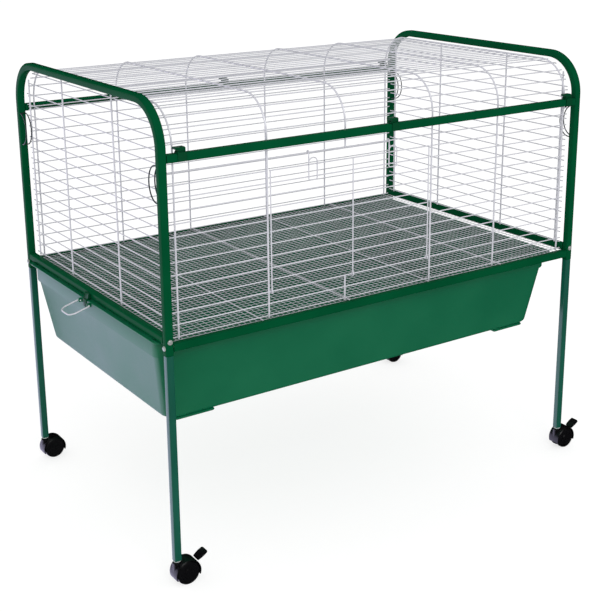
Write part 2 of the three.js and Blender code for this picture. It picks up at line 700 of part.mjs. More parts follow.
// The wheels are turned so that one flat of each faces the floor at the full radius.
function wheelPair() {
  const SEGMENTS = 18;
  const { radius, width, inner, axle } = WHEEL;
  const tread = radius / Math.cos(Math.PI / SEGMENTS);
  const wheels = [-1, 1].map((s) => {
    const profile = [
      [0, 0], [tread - 1, 0], [tread, 1.5], [tread, width - 3], [tread - 3, width], [0, width],
    ].map(([r, y]) => new THREE.Vector2(r, y));
    const wheel = new THREE.LatheGeometry(profile, SEGMENTS, Math.PI / SEGMENTS).translate(0, inner, 0);
    return s > 0 ? wheel : wheel.rotateX(Math.PI);
  });
  return joinAll([...wheels, disc(axle, 2 * inner + 4, 8)]);
}

function socket() {
  const side = SOCKET.size / 2;
  const body = block(-side, side, -side, side, LEG_FOOT - 1, SOCKET.top);
  const flange = new THREE.CylinderGeometry(SOCKET.flange, SOCKET.flange, 2, 12).rotateX(Math.PI / 2)
    .translate(0, 0, LEG_FOOT - GAP - 1);
  const bore = new THREE.CylinderGeometry(SOCKET.bore, SOCKET.bore, 200, 8).rotateX(Math.PI / 2);
  return toGeometry(join(body, flange).subtract(toSolid(bore)));
}

function brakeLever() {
  const shape = new THREE.Shape();
  shape.moveTo(0, 0);
  shape.lineTo(14, 7);
  shape.lineTo(22, 12);
  shape.lineTo(19, 17);
  shape.lineTo(8, 12);
  shape.lineTo(-2, 4);
  return extrude(shape, 18).rotateX(Math.PI / 2).translate(0, 9, 0);
}

for (const { name, sx, sy } of CORNERS) {
  const x = sx * halfL;
  const y = sy * halfW;
  add(name + "_caster_socket", socket(), NYLON, x, y);
  add(name + "_caster_housing", casterHousing(), CASTER_PLASTIC, x, y);
  add(name + "_caster_wheels", wheelPair(), CASTER_PLASTIC, x + WHEEL.trail, y, WHEEL.radius);
  if (sy < 0) {
    add(name + "_caster_brake", brakeLever(), CASTER_PLASTIC, x + WHEEL.trail + 24, y, WHEEL.radius + 17);
  }
}

// The bail and the brake levers reach past the wheels by different amounts, so the whole is centred.
const extent = new THREE.Box3().setFromObject(cage);
for (const mesh of cage.children) {
  mesh.position.x -= (extent.min.x + extent.max.x) / 2;
}

export default cage;
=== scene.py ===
import bmesh
import bpy, math
from mathutils import Matrix, Quaternion, Vector


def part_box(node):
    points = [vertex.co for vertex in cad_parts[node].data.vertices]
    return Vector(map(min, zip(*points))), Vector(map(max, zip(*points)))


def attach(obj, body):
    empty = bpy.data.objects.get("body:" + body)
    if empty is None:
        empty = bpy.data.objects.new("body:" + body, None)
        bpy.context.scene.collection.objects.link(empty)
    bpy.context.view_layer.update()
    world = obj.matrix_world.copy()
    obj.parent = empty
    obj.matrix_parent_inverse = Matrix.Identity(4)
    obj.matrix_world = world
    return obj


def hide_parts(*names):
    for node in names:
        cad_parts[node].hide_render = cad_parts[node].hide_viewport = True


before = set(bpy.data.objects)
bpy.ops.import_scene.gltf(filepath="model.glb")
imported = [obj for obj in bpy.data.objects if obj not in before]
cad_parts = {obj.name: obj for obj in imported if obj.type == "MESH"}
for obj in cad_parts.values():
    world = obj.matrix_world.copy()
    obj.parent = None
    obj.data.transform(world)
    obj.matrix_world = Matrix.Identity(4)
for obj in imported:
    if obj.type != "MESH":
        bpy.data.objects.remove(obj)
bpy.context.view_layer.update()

# ------------------------------------------------------------------ measures
MM = 0.001


def level(node):
    """The height of a node's middle."""
    lo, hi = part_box(node)
    return (lo.z + hi.z) / 2


def mm(points):
    """Points given in millimetres, in metres."""
    return [tuple(value * MM for value in point) for point in points]


LEGS = {n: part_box(n + "_leg") for n in ("front_left", "front_right", "back_left", "back_right")}
AXIS = {n: Vector(((lo.x + hi.x) / 2, (lo.y + hi.y) / 2, 0)) for n, (lo, hi) in LEGS.items()}
X0, X1 = AXIS["front_left"].x, AXIS["front_right"].x
Y0, Y1 = AXIS["front_left"].y, AXIS["back_left"].y
MID = (X0 + X1) / 2
FOOT = LEGS["front_left"][0].z
LONG_RAIL = level("front_rail")
END_RAIL = level("left_rail")
BAR = level("front_bar")
JOINT_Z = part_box("left_hoop")[0].z

TUBE = 16 * MM
TUBE_WALL = 1.2 * MM
LOWER_LEG = 15.2 * MM
SPIGOT = 12.9 * MM
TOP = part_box("left_hoop")[1].z - TUBE / 2
BEND = 85 * MM

# The panels' wires: long ones in rows, and thicker ones across them.
PITCH = 24.3 * MM
FIRST_ROW = 12.5 * MM
LONG_ROWS, END_ROWS, ROOF_ROWS = 15, 18, 32
HINGE_ROW, HEADER_ROW = 2, 13
R_LONG, R_CROSS = 1.25 * MM, 1.85 * MM
WELD = 0.95 * MM
ABOVE_RAIL = TUBE / 2 + 0.4 * MM
INSET = 10.5 * MM
PANEL_Y = Y1 - INSET
PANEL_X = (X1 - X0) / 2 - INSET
CROSS_X = [MID + x * MM for x in (-497, -296, -112, 112, 296, 497)]
CROSS_Y = [y * MM for y in (-303, -119, 119, 303)]


def front_row(k):
    return LONG_RAIL + FIRST_ROW + k * PITCH


def end_row(k):
    return END_RAIL + FIRST_ROW + k * PITCH


# ------------------------------------------------------------------ materials
BROAD_SCALE, BROAD_DETAIL, FINE_DETAIL = 9.0, 5.0, 3.0
SHADE_STOPS = (0.3, 0.7)
ROUGH_SPREAD, LEAST_ROUGH = 0.07, 0.03
BUMP_DISTANCE = 0.0004


def noise(tree, coord, scale, detail):
    node = tree.nodes.new("ShaderNodeTexNoise")
    node.inputs["Scale"].default_value = scale
    node.inputs["Detail"].default_value = detail
    tree.links.new(coord.outputs["Object"], node.inputs["Vector"])
    return node.outputs["Fac"]


def shaded(tree, fac, color, vary):
    """The colour, a little darker and lighter in broad patches."""
    ramp = tree.nodes.new("ShaderNodeValToRGB")
    for stop, place, gain in zip(ramp.color_ramp.elements, SHADE_STOPS, (1 - vary, 1 + vary)):
        stop.position = place
        stop.color = (*(min(1.0, c * gain) for c in color), 1)
    tree.links.new(fac, ramp.inputs["Fac"])
    return ramp.outputs["Color"]


def material(name, color, rough, metal=0.0, spec=0.5, bump=0.1, grain=900.0, vary=0.12):
    m = bpy.data.materials.new(name)
    m.use_nodes = True
    tree = m.node_tree
    bsdf = tree.nodes["Principled BSDF"]
    bsdf.inputs["Metallic"].default_value = metal
    bsdf.inputs["Specular IOR Level"].default_value = spec
    coord = tree.nodes.new("ShaderNodeTexCoord")
    broad = noise(tree, coord, BROAD_SCALE, BROAD_DETAIL)
    tree.links.new(shaded(tree, broad, color, vary), bsdf.inputs["Base Color"])
    spread = tree.nodes.new("ShaderNodeMapRange")
    spread.inputs["To Min"].default_value = max(LEAST_ROUGH, rough - ROUGH_SPREAD)
    spread.inputs["To Max"].default_value = rough + ROUGH_SPREAD
    tree.links.new(broad, spread.inputs["Value"])
    tree.links.new(spread.outputs["Result"], bsdf.inputs["Roughness"])
    relief = tree.nodes.new("ShaderNodeBump")
    relief.inputs["Strength"].default_value = bump
    relief.inputs["Distance"].default_value = BUMP_DISTANCE
    tree.links.new(noise(tree, coord, grain, FINE_DETAIL), relief.inputs["Height"])
    tree.links.new(relief.outputs["Normal"], bsdf.inputs["Normal"])
    return m


M = {
    "frame_paint": material("frame_enamel", (0.0006, 0.06, 0.021), 0.2, spec=0.015, grain=500),
    # The legs' enamel is the frame's green paint made lighter and far glossier, a lit copy of frame_enamel:
    # painted light for the glare on the legs.
    "leg_paint": material("leg_enamel_lit_copy", (0.0025, 0.086, 0.054), 0.3, spec=0.75, grain=500),
    "tray_plastic": material("tray_moulding", (0.0008, 0.122, 0.052), 0.36, bump=0.2, grain=1400, vary=0.07),
    "clip_plastic": material("clip_moulding", (0.001, 0.05, 0.018), 0.28, spec=0.1, bump=0.12),
    "panel_wire": material("coated_wire", (0.63, 0.63, 0.68), 0.3, metal=0.1, grain=1500, vary=0.05),
    "clip_wire": material("spring_wire", (0.03, 0.045, 0.04), 0.3, metal=0.5),
    "zinc": material("zinc_plate", (0.5, 0.54, 0.52), 0.3, metal=0.5, bump=0.15, grain=700, vary=0.15),
    "nylon": material("pale_nylon", (0.38, 0.42, 0.41), 0.45, bump=0.15),
    "caster_plastic": material(
        "caster_moulding", (0.004, 0.004, 0.005), 0.33, bump=0.3, grain=1100, vary=0.2
    ),
}

# ------------------------------------------------------------------ mesh code
TIP_RADIUS, TIP_LENGTH = 0.6, 0.3
SHARP_ANGLE = 32


def circle(centre, side, other, radius, sides):
    """A ring of points about centre, in the plane of two unit vectors."""
    turns = [2 * math.pi * k / sides for k in range(sides)]
    return [centre + side * (radius * math.cos(a)) + other * (radius * math.sin(a)) for a in turns]


class Shape:
    """Collects vertices and faces for one piece."""

    def __init__(self):
        self.v, self.f = [], []

    def add(self, verts, faces):
        n = len(self.v)
        self.v += [tuple(p) for p in verts]
        self.f += [[i + n for i in face] for face in faces]
        return self

    def rings(self, rings, cap=True, close=False):
        """Skins rings of equal length."""
        n = len(rings[0])
        verts = [p for ring in rings for p in ring]
        faces = []
        for s in range(len(rings) - (0 if close else 1)):
            t = (s + 1) % len(rings)
            for i in range(n):
                j = (i + 1) % n
                faces.append([s * n + i, s * n + j, t * n + j, t * n + i])
        if cap and not close:
            faces.append(list(reversed(range(n))))
            faces.append([(len(rings) - 1) * n + i for i in range(n)])
        return self.add(verts, faces)

    def wire(self, path, radius, sides=8, close=False):
        """A round wire along points, with slightly rounded ends."""
        path = [Vector(p) for p in path]
        n = len(path)
        tangents = []
        for i in range(n):
            before = path[(i - 1) % n] if close or i else path[i]
            after = path[(i + 1) % n] if close or i < n - 1 else path[i]
            tangents.append((after - before).normalized())
        up = Vector((0, 0, 1)) if abs(tangents[0].z) < 0.9 else Vector((1, 0, 0))
        side = tangents[0].cross(up).normalized()
        rings = []
        for i, (p, t) in enumerate(zip(path, tangents)):
            side = (side - t * side.dot(t)).normalized()
            other = t.cross(side)
            tip = circle(p, side, other, radius * TIP_RADIUS, sides)
            if close or 0 < i < n - 1:
                rings.append(circle(p, side, other, radius, sides))
            elif i == 0:
                rings += [tip, circle(p + t * radius * TIP_LENGTH, side, other, radius, sides)]
            else:
                rings += [circle(p - t * radius * TIP_LENGTH, side, other, radius, sides), tip]
        return self.rings(rings, close=close)

    def lathe(self, profile, centre, axis, segments, start=0.0, sweep=2 * math.pi):
        """Turns (radius, along) points about an axis through centre. The profile is closed."""
        full = abs(sweep - 2 * math.pi) < 1e-6
        rings = []
        for s in range(segments if full else segments + 1):
            a = start + sweep * s / segments
            c, d = math.cos(a), math.sin(a)
            ring = []
            for r, h in profile:
                p = {"Y": (r * c, h, r * d), "Z": (r * c, r * d, h)}[axis]
                ring.append(Vector(p) + Vector(centre))
            rings.append(ring)
        return self.rings(rings, cap=not full, close=full)

    def box(self, lo, hi, bevel):
        """A block with its edges cut off by bevel."""
        a, b, e = Vector(lo), Vector(hi), bevel
        rings = []
        for z, i in ((a.z, e), (a.z + e, 0), (b.z - e, 0), (b.z, e)):
            x0, x1, y0, y1 = a.x + i, b.x - i, a.y + i, b.y - i
            rings.append([
                (x0 + e, y0, z), (x1 - e, y0, z), (x1, y0 + e, z), (x1, y1 - e, z),
                (x1 - e, y1, z), (x0 + e, y1, z), (x0, y1 - e, z), (x0, y0 + e, z),
            ])
        return self.rings(rings)

    def block(self, lo, hi):
        """A block with sharp edges."""
        (x0, y0, z0), (x1, y1, z1) = lo, hi
        return self.rings([[(x0, y0, z), (x1, y0, z), (x1, y1, z), (x0, y1, z)] for z in (z0, z1)])

    def make(self, name, body, slot, node, angle=SHARP_ANGLE):
        mesh = bpy.data.meshes.new(name)
        mesh.from_pydata(self.v, [], self.f)
        mesh.validate()
        turn_outwards(mesh)
        mesh.polygons.foreach_set("use_smooth", [True] * len(mesh.polygons))
        mesh.set_sharp_from_angle(angle=math.radians(angle))
        obj = bpy.data.objects.new(name, mesh)
        bpy.context.scene.collection.objects.link(obj)
        mesh.materials.append(M[slot])
        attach(obj, body)
        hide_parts(node)


def turn_outwards(mesh):
    bm = bmesh.new()
    bm.from_mesh(mesh)
    bmesh.ops.recalc_face_normals(bm, faces=bm.faces)
    bm.to_mesh(mesh)
    bm.free()


def rounded(w, h, r, steps=4):
    """A rounded rectangle round the origin."""
    x, y = w / 2 - r, h / 2 - r
    pts = []
    for quarter, (cx, cy) in enumerate(((x, y), (-x, y), (-x, -y), (x, -y))):
        for i in range(steps + 1):
            a = math.radians(90 * quarter + 90 * i / steps)
            pts.append((cx + r * math.cos(a), cy + r * math.sin(a)))
    return pts


def about_middle(profile):
    """A profile's points, each with the signs that lead from it to the profile's middle."""
    cx = sum(x for x, _ in profile) / len(profile)
    cz = sum(z for _, z in profile) / len(profile)
    return [(x, z, 1 if x < cx else -1, 1 if z < cz else -1) for x, z in profile]


def hollow(shape, outer, inner):
    """A tube with open ends: outer rings, then inner rings back to the start."""
    return shape.rings(outer + list(reversed(inner)), close=True)


def straight_tube(a, b, size, r=3.0 * MM, lip=0.5 * MM):
    a, b = Vector(a), Vector(b)
    t = (b - a).normalized()
    u = Vector((0, 0, 1)) if abs(t.z) < 0.5 else Vector((1, 0, 0))
    v = t.cross(u)

    def put(centre, section):
        return [centre + u * p + v * q for p, q in section]

    full = rounded(size, size, r)
    end = rounded(size - 2 * lip, size - 2 * lip, r - lip)
    bore = rounded(size - 2 * TUBE_WALL, size - 2 * TUBE_WALL, r - TUBE_WALL)
    outer = [put(a, end), put(a + t * lip, full), put(b - t * lip, full), put(b, end)]
    return hollow(Shape(), outer, [put(a, bore), put(b, bore)])


# ------------------------------------------------------------------ frame
BEND_STEPS = 24


def hoop(name):
    lo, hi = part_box(name)
    x = (lo.x + hi.x) / 2
    # Across the cage, height, and the way that the tube's outer side faces.
    lip, straight = JOINT_Z + 0.5 * MM, LONG_RAIL + 50 * MM
    stations = [(Y0, JOINT_Z, math.pi), (Y0, lip, math.pi), (Y0, straight, math.pi)]
    for cy, first in ((Y0 + BEND, math.pi), (Y1 - BEND, math.pi / 2)):
        for i in range(BEND_STEPS + 1):
            a = first - math.pi / 2 * i / BEND_STEPS
            stations.append((cy + BEND * math.cos(a), TOP - BEND + BEND * math.sin(a), a))
    stations += [(Y1, straight, 0), (Y1, lip, 0), (Y1, JOINT_Z, 0)]

    def rings(sections):
        return [
            [Vector((x + q, y + p * math.cos(a), z + p * math.sin(a))) for p, q in section]
            for section, (y, z, a) in zip(sections, stations)
        ]

    full = rounded(TUBE, TUBE, 3 * MM)
    end = rounded(TUBE - MM, TUBE - MM, 2.5 * MM)
    bore = rounded(TUBE - 2 * TUBE_WALL, TUBE - 2 * TUBE_WALL, 3 * MM - TUBE_WALL)
    between = len(stations) - 2
    shape = hollow(Shape(), rings([end] + [full] * between + [end]), rings([bore] * len(stations)))
    shape.make(name + "_tube", "stand", "frame_paint", name)


def lower_leg(corner):
    """The leg's tube, and the spigot that stands inside the hoop."""
    c, end = AXIS[corner], LEGS[corner][1].z
    shape = straight_tube((c.x, c.y, FOOT), (c.x, c.y, JOINT_Z - 0.3 * MM), LOWER_LEG)
    spigot = straight_tube((c.x, c.y, JOINT_Z - 2 * MM), (c.x, c.y, end), SPIGOT, r=1.6 * MM, lip=0.3 * MM)
    shape.add(spigot.v, spigot.f)
    shape.make(corner + "_lower_leg", "stand", "leg_paint", corner + "_leg")


def rail(name):
    lo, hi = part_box(name)
    c = (lo + hi) / 2
    if hi.x - lo.x > hi.y - lo.y:
        a, b = (lo.x, c.y, c.z), (hi.x, c.y, c.z)
    else:
        a, b = (c.x, lo.y, c.z), (c.x, hi.y, c.z)
    straight_tube(a, b, TUBE).make(name + "_tube", "stand", "frame_paint", name)


def screw(name, node, centre, direction):
    """A domed screw head with a cross in relief. direction points out of the head."""
    head, shank, length = 5.2 * MM, 2.5 * MM, 21 * MM
    dome = ((0, 3.1), (0.35, 3.0), (0.65, 2.5), (0.88, 1.6), (1, 0.5), (1, 0))
    profile = [(share * head, height * MM) for share, height in dome]
    shape = Shape().lathe(profile + [(shank, 0), (shank, -length), (0, -length)], (0, 0, 0), "Z", 28)
    arm, width, low, high = 2.6 * MM, 0.45 * MM, 2.2 * MM, 3.25 * MM
    shape.block((-arm, -width, low), (arm, width, high))
    shape.block((-width, -arm, low), (width, arm, high))
    turn = Vector((0, 0, 1)).rotation_difference(Vector(direction)).to_matrix().to_4x4()
    place = Matrix.Translation(Vector(centre)) @ turn
    shape.v = [tuple(place @ Vector(p)) for p in shape.v]
    shape.make(name, "stand", "zinc", node)


def corner_screws(corner):
    c = AXIS[corner]
    sx, sy = (-1 if c.x < MID else 1), (-1 if c.y < 0 else 1)
    off = TUBE / 2 + 0.3 * MM
    screw(corner + "_side_screw", corner + "_long_bolt", (c.x + sx * off, c.y, LONG_RAIL), (sx, 0, 0))
    screw(corner + "_face_screw", corner + "_end_bolt", (c.x, c.y + sy * off, END_RAIL), (0, sy, 0))


for n in ("left_hoop", "right_hoop"):
    hoop(n)
for n in AXIS:
    lower_leg(n)
for n in ("front_rail", "back_rail", "front_bar", "back_bar", "left_rail", "right_rail"):
    rail(n)
for n in AXIS:
    corner_screws(n)


# ------------------------------------------------------------------ wire panels
def long_panel(name, y, out, doorway):
    """Long wires run along X just inside the uprights. out is the direction away from the cage."""
    shape = Shape()
    lo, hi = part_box(name)
    inner, outer = y - out * WELD, y + out * WELD
    z_top = front_row(LONG_ROWS - 1) + R_CROSS
    z_bottom = LONG_RAIL + ABOVE_RAIL
    past = 1.5 * MM
    for k in range(LONG_ROWS):
        z = front_row(k)
        if doorway and HINGE_ROW < k < HEADER_ROW:
            spans = (lo.x, CROSS_X[1] + past), (CROSS_X[3] - past, hi.x)
        else:
            spans = ((lo.x, hi.x),)
        for a, b in spans:
            shape.wire([(a, inner, z), (b, inner, z)], R_LONG)
    for i, x in enumerate(CROSS_X):
        if doorway and i == 2:
            spans = (z_bottom, front_row(HINGE_ROW) + R_LONG), (front_row(HEADER_ROW) - R_LONG, z_top)
        else:
            spans = ((z_bottom, z_top),)
        for a, b in spans:
            shape.wire([(x, outer, a), (x, outer, b)], R_CROSS)
    shape.make(name + "_wires", "stand", "panel_wire", name)


def end_panel(name, x, out):
    """Wires across the end stop where the hoop's bend leaves no room for them."""
    shape = Shape()
    side = PANEL_Y - 3.2 * MM
    top = TOP - INSET - 1.7 * MM
    radius = BEND - INSET - 3.7 * MM
    inner, outer = x - out * WELD, x + out * WELD * 0.6

    def drop(over):
        """How far the rounded corner falls back, past its start."""
        return radius - math.sqrt(max(radius * radius - over * over, 0)) if over > 0 else 0

    for k in range(END_ROWS):
        z = end_row(k)
        if z < top - 4 * MM:
            reach = side - drop(z - (top - radius))
            shape.wire([(inner, -reach, z), (inner, reach, z)], R_LONG)
    for y in CROSS_Y:
        height = top - drop(abs(y) - (side - radius))
        shape.wire([(outer, y, END_RAIL + ABOVE_RAIL), (outer, y, height)], R_CROSS)
    shape.make(name + "_wires", "stand", "panel_wire", name)


def roof_panel():
    """The roof follows the hoops from one upper bar to the other."""
    shape = Shape()
    lo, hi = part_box("roof_panel")
    radius = BEND - INSET
    bend_z = TOP - BEND
    flat = Y1 - BEND
    arc = radius * math.pi / 2
    half = bend_z - BAR + arc + flat
    steps = 90

    def at(along, lift):
        """(y, z) at a distance along the roof from its middle, and a height over it."""
        past = abs(along) - flat
        turn = min(max(past, 0), arc) / radius
        y = min(abs(along), flat) + (radius + lift) * math.sin(turn)
        z = bend_z + (radius + lift) * math.cos(turn) - max(past - arc, 0)
        return (y if along > 0 else -y), z

    for r in range(ROOF_ROWS):
        y, z = at((half - R_LONG) * (2 * r / (ROOF_ROWS - 1) - 1), -WELD)
        shape.wire([(lo.x, y, z), (hi.x, y, z)], R_LONG)
    for x in CROSS_X:
        places = [at(half * (2 * i / steps - 1), WELD) for i in range(steps + 1)]
        shape.wire([(x, y, z) for y, z in places], R_CROSS)
    shape.make("roof_panel_wires", "stand", "panel_wire", "roof_panel")


long_panel("front_panel", Y0 + INSET, -1, True)
long_panel("back_panel", Y1 - INSET, 1, False)
end_panel("left_panel", MID - PANEL_X, -1)
end_panel("right_panel", MID + PANEL_X, 1)
roof_panel()


# ------------------------------------------------------------------ floor
def floor():
    """A half-inch mesh with four rods over it."""
    lo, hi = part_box("floor_grille")
    cell, r, z = 12.7 * MM, 0.62 * MM, LONG_RAIL + 6.6 * MM
    y = Y1 - TUBE / 2 - 1 * MM
    nx, ny = int((hi.x - lo.x) / cell), int(2 * y / cell)
    x_start = (lo.x + hi.x) / 2 - nx * cell / 2
    mesh = Shape()
    for i in range(nx + 1):
        x = x_start + i * cell
        mesh.wire([(x, -y, z + r), (x, y, z + r)], r, 5)
    for j in range(ny + 1):
        yy = -ny * cell / 2 + j * cell
        mesh.wire([(lo.x, yy, z - r * 0.6), (hi.x, yy, z - r * 0.6)], r, 5)
    mesh.make("floor_mesh", "stand", "panel_wire", "floor_grille")
    rods = Shape()
    bays, rod_z = 5, LONG_RAIL + TUBE / 2 + 1.6 * MM
    for i in range(1, bays):
        x = X0 + (X1 - X0) * i / bays
        rods.wire([(x, Y0 + 2 * MM, rod_z), (x, Y1 - 2 * MM, rod_z)], 1.4 * MM, 10)
    rods.make("floor_rods", "stand", "panel_wire", "floor_grille")


floor()


# ------------------------------------------------------------------ door
def door():
    """Ten long wires on three upright ones, which curl round the hinge wire."""
    lo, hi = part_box("front_door")
    r = 1.3 * MM
    x0, x1 = lo.x + 2 * r, hi.x - 2 * r
    y, hinge, curl = Y0 + INSET, front_row(HINGE_ROW), 3.7 * MM
    top_row = HEADER_ROW - 1
    shape = Shape()
    for k in range(HINGE_ROW + 1, HEADER_ROW):
        z = front_row(k)
        shape.wire([(x0 - 1.5 * MM, y + WELD, z), (x1 + 1.5 * MM, y + WELD, z)], R_LONG)
    for x in (x0, (x0 + x1) / 2, x1):
        path = [
            (x, y - WELD, front_row(top_row) + 1.2 * MM),
            (x, y - WELD * 1.2, hinge + 7 * MM),
            (x, y - 2.6 * MM, hinge + 3.6 * MM),
        ]
        for i in range(13):
            a = math.radians(140 + 320 * i / 12)
            path.append((x, y + curl * math.cos(a), hinge + curl * math.sin(a)))
        shape.wire(path, r)
    shape.make("front_door_wires", "door", "panel_wire", "front_door")


def door_latch(name, body):
    """A bent wire: a U below the door's top wire, a hook over the header, and an arch between the legs."""
    lo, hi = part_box(name)
    r = 1.2 * MM
    x0, x1, low, top = lo.x + r, hi.x - r, lo.z + r, hi.z - r
    y = Y0 + INSET - 3.0 * MM
    mid = front_row(HEADER_ROW - 1) + 7 * MM
    c, cut, hook, tail = 3 * MM, 0.9 * MM, 2.9 * MM, 5 * MM
    shape = Shape()
    path = [
        (x1, y, mid - 4 * MM), (x1, y, low + c), (x1 - cut, y, low + cut), (x1 - c, y, low), (x0 + c, y, low),
        (x0 + cut, y, low + cut), (x0, y, low + c), (x0, y, top - c),
    ]
    for i in range(7):
        a = math.radians(180 - 180 * i / 6)
        path.append((x0, y + hook + hook * math.cos(a), top - hook + hook * math.sin(a)))
    path.append((x0, y + 2 * hook, top - tail))
    shape.wire(path, r)
    arch = [(x0, y, mid - 6 * MM)]
    for i in range(9):
        a = math.radians(180 - 180 * i / 8)
        arch.append(((x0 + x1) / 2 + (x1 - x0) / 2 * math.cos(a), y, mid - 2 * MM + 9 * MM * math.sin(a)))
    arch.append((x1, y, mid - 6 * MM))
    shape.wire(arch, r)
    shape.make(name + "_wire", body, "panel_wire", name)


door()
door_latch("left_door_latch", "left_latch")
door_latch("right_door_latch", "right_latch")


# ------------------------------------------------------------------ clips
def spring_clip(corner):
    """Two bows of one closed wire on the upright's inner face."""
    c = AXIS[corner]
    lo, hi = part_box(corner + "_spring_clip")
    inward = 1 if c.y < 0 else -1
    face = c.y + inward * (TUBE / 2 + 1.8 * MM)
    zc, high = (lo.z + hi.z) / 2, (hi.z - lo.z) / 2 - 1.5 * MM
    depth = hi.y - lo.y - 3.2 * MM
    steps = 24
    loop = []
    for sx in (-1, 1):
        for i in range(steps + 1):
            a = -sx * math.radians(90 - 180 * i / steps)
            loop.append((c.x + sx * 6 * MM, face + inward * depth * math.cos(a), zc + high * math.sin(a)))
    Shape().wire(loop, 1.3 * MM, close=True).make(
        corner + "_spring_wire", "stand", "clip_wire", corner + "_spring_clip"
    )


def bar_clip(side, where):
    """A moulded hook on an upper bar, with a plate over the bar's top and outer face."""
    name = f"{side}_clip_{where}"
    lo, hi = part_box(name)
    y, out = (Y0, -1) if side == "front" else (Y1, 1)
    x0, x1, zt = lo.x + 4 * MM, hi.x, BAR + TUBE / 2 + 0.3 * MM
    lip = ((-3, 11), (-4, 10), (-3.6, 7), (2.2, 6.4), (2.5, 4))
    profile = [(x0, zt), (x1, zt), (x1, zt + 9 * MM), (x1 - 2 * MM, zt + 11 * MM)]
    profile += [(x0 + x, zt + z) for x, z in mm(lip)]
    shape = Shape()
    ends = mm(((-6, 0.6), (-5.4, 0), (5.4, 0), (6, 0.6)))
    shape.rings([
        [(x + sx * shrink, y + across, z + sz * shrink) for x, z, sx, sz in about_middle(profile)]
        for across, shrink in ends
    ])
    face, plate = TUBE / 2 + 0.4 * MM, zt + 2.2 * MM

    def cover(near, far, bottom):
        near, far = y + out * near, y + out * far
        shape.box((x0, min(near, far), bottom), (x1, max(near, far), plate), 0.5 * MM)

    cover(face, face + 1.6 * MM, BAR - 7 * MM)
    cover(0, face + 1.2 * MM, zt)
    shape.make(name + "_moulding", "stand", "clip_plastic", name)


for n in AXIS:
    spring_clip(n)
for side, places in (("front", ("left", "middle", "right")), ("back", ("middle", "right"))):
    for where in places:
        bar_clip(side, where)

# ------------------------------------------------------------------ tray
RIM, RIM_THICK, BAND, STEP, DRAFT, WALL = 8, 3, 38, 4, 22, 3
FOOT_HEIGHT = 5


def tray_wall(top, bottom):
    """(inset, height, corner radius) in millimetres, from the floor's inner face over the rim and down."""
    steps = 6
    turns = [math.pi / 2 * i / steps for i in range(steps + 1)]
    inside, low = RIM + STEP + WALL, RIM + STEP + DRAFT
    inner_bend, outer_bend = 9, 10
    wall = []
    for a in turns:
        inset = inside + DRAFT + inner_bend * (1 - math.sin(a))
        wall.append((inset, bottom + WALL + inner_bend * (1 - math.cos(a)), 24))
    wall += [
        (inside + 1.2, top - BAND + 1, 25), (inside - 1, top - BAND + 4, 25),
        (RIM + WALL, top - BAND + 5, 25), (RIM + WALL, top - 1.5, 25), (RIM + WALL - 1.5, top, 24),
        (0.8, top, 15), (0, top - 0.8, 15), (0, top - 2.4, 15), (0.6, top - RIM_THICK, 15),
        (RIM + 0.4, top - RIM_THICK, 26), (RIM, top - 4.5, 27), (RIM, top - BAND + 2, 28),
        (RIM + 0.8, top - BAND, 28), (RIM + STEP - 0.8, top - BAND - 0.4, 27),
        (RIM + STEP, top - BAND - 2, 27),
    ]
    for i, a in enumerate(turns):
        inset = low + outer_bend * (1 - math.cos(a)) - 1.5 * (1 - i / steps)
        wall.append((inset, bottom + outer_bend * (1 - math.sin(a)), 26))
    return wall


def tray():
    lo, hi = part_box("tray")
    ear = 7 * MM
    left, right = lo.x + ear, hi.x
    half = (hi.y - lo.y) / 2
    top, bottom = hi.z, lo.z + FOOT_HEIGHT * MM
    cx, length = (left + right) / 2, right - left
    shape = Shape()
    shape.rings([
        [(cx + p, q, z) for p, q in rounded(length - 2 * inset, 2 * half - 2 * inset, radius, 10)]
        for inset, z, radius in mm(tray_wall(top / MM, bottom / MM))
    ])
    low = (RIM + STEP + DRAFT) * MM
    foot_x, foot_y, dx, dy = length / 2 - low - 64 * MM, half - low - 14 * MM, 44 * MM, 12 * MM
    for sx in (-1, 1):
        for sy in (-1, 1):
            x, y = cx + sx * foot_x, sy * foot_y
            shape.box((x - dx, y - dy, lo.z), (x + dx, y + dy, bottom + 1 * MM), 2 * MM)
    shape.make("tray_shell", "tray", "tray_plastic", "tray", angle=40)
    ears = Shape()
    for sy in (-1, 1):
        y = sy * 21 * MM
        ears.box((left - ear, y - 2 * MM, top - 11 * MM), (left + 3 * MM, y + 2 * MM, top - 2 * MM), 0.6 * MM)
    ears.make("tray_ears", "tray", "tray_plastic", "tray")


def tray_latch():
    lo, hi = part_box("tray_latch")
    half = (hi.y - lo.y) / 2
    upper = ((0, -1), (-1.2, 0), (-3.6, -0.4), (-5, -3), (-6.4, -10), (-8, -12.6), (-10.4, -13.4), (-11, -15))
    lower = ((-11, 1), (-10, 0), (-9, 0.6), (-8.8, 16))
    profile = [(hi.x, lo.z + 16.4 * MM)]
    profile += [(hi.x + x, hi.z + z) for x, z in mm(upper)] + [(hi.x + x, lo.z + z) for x, z in mm(lower)]
    edge, shrink = 0.8 * MM, 0.35 * MM
    ends = ((-half, shrink), (-half + edge, 0), (half - edge, 0), (half, shrink))
    shape = Shape().rings([
        [(x + sx * k, y, z + sz * k) for x, z, sx, sz in about_middle(profile)] for y, k in ends
    ])
    shape.make("tray_latch_lever", "tray_lever", "clip_plastic", "tray_latch")


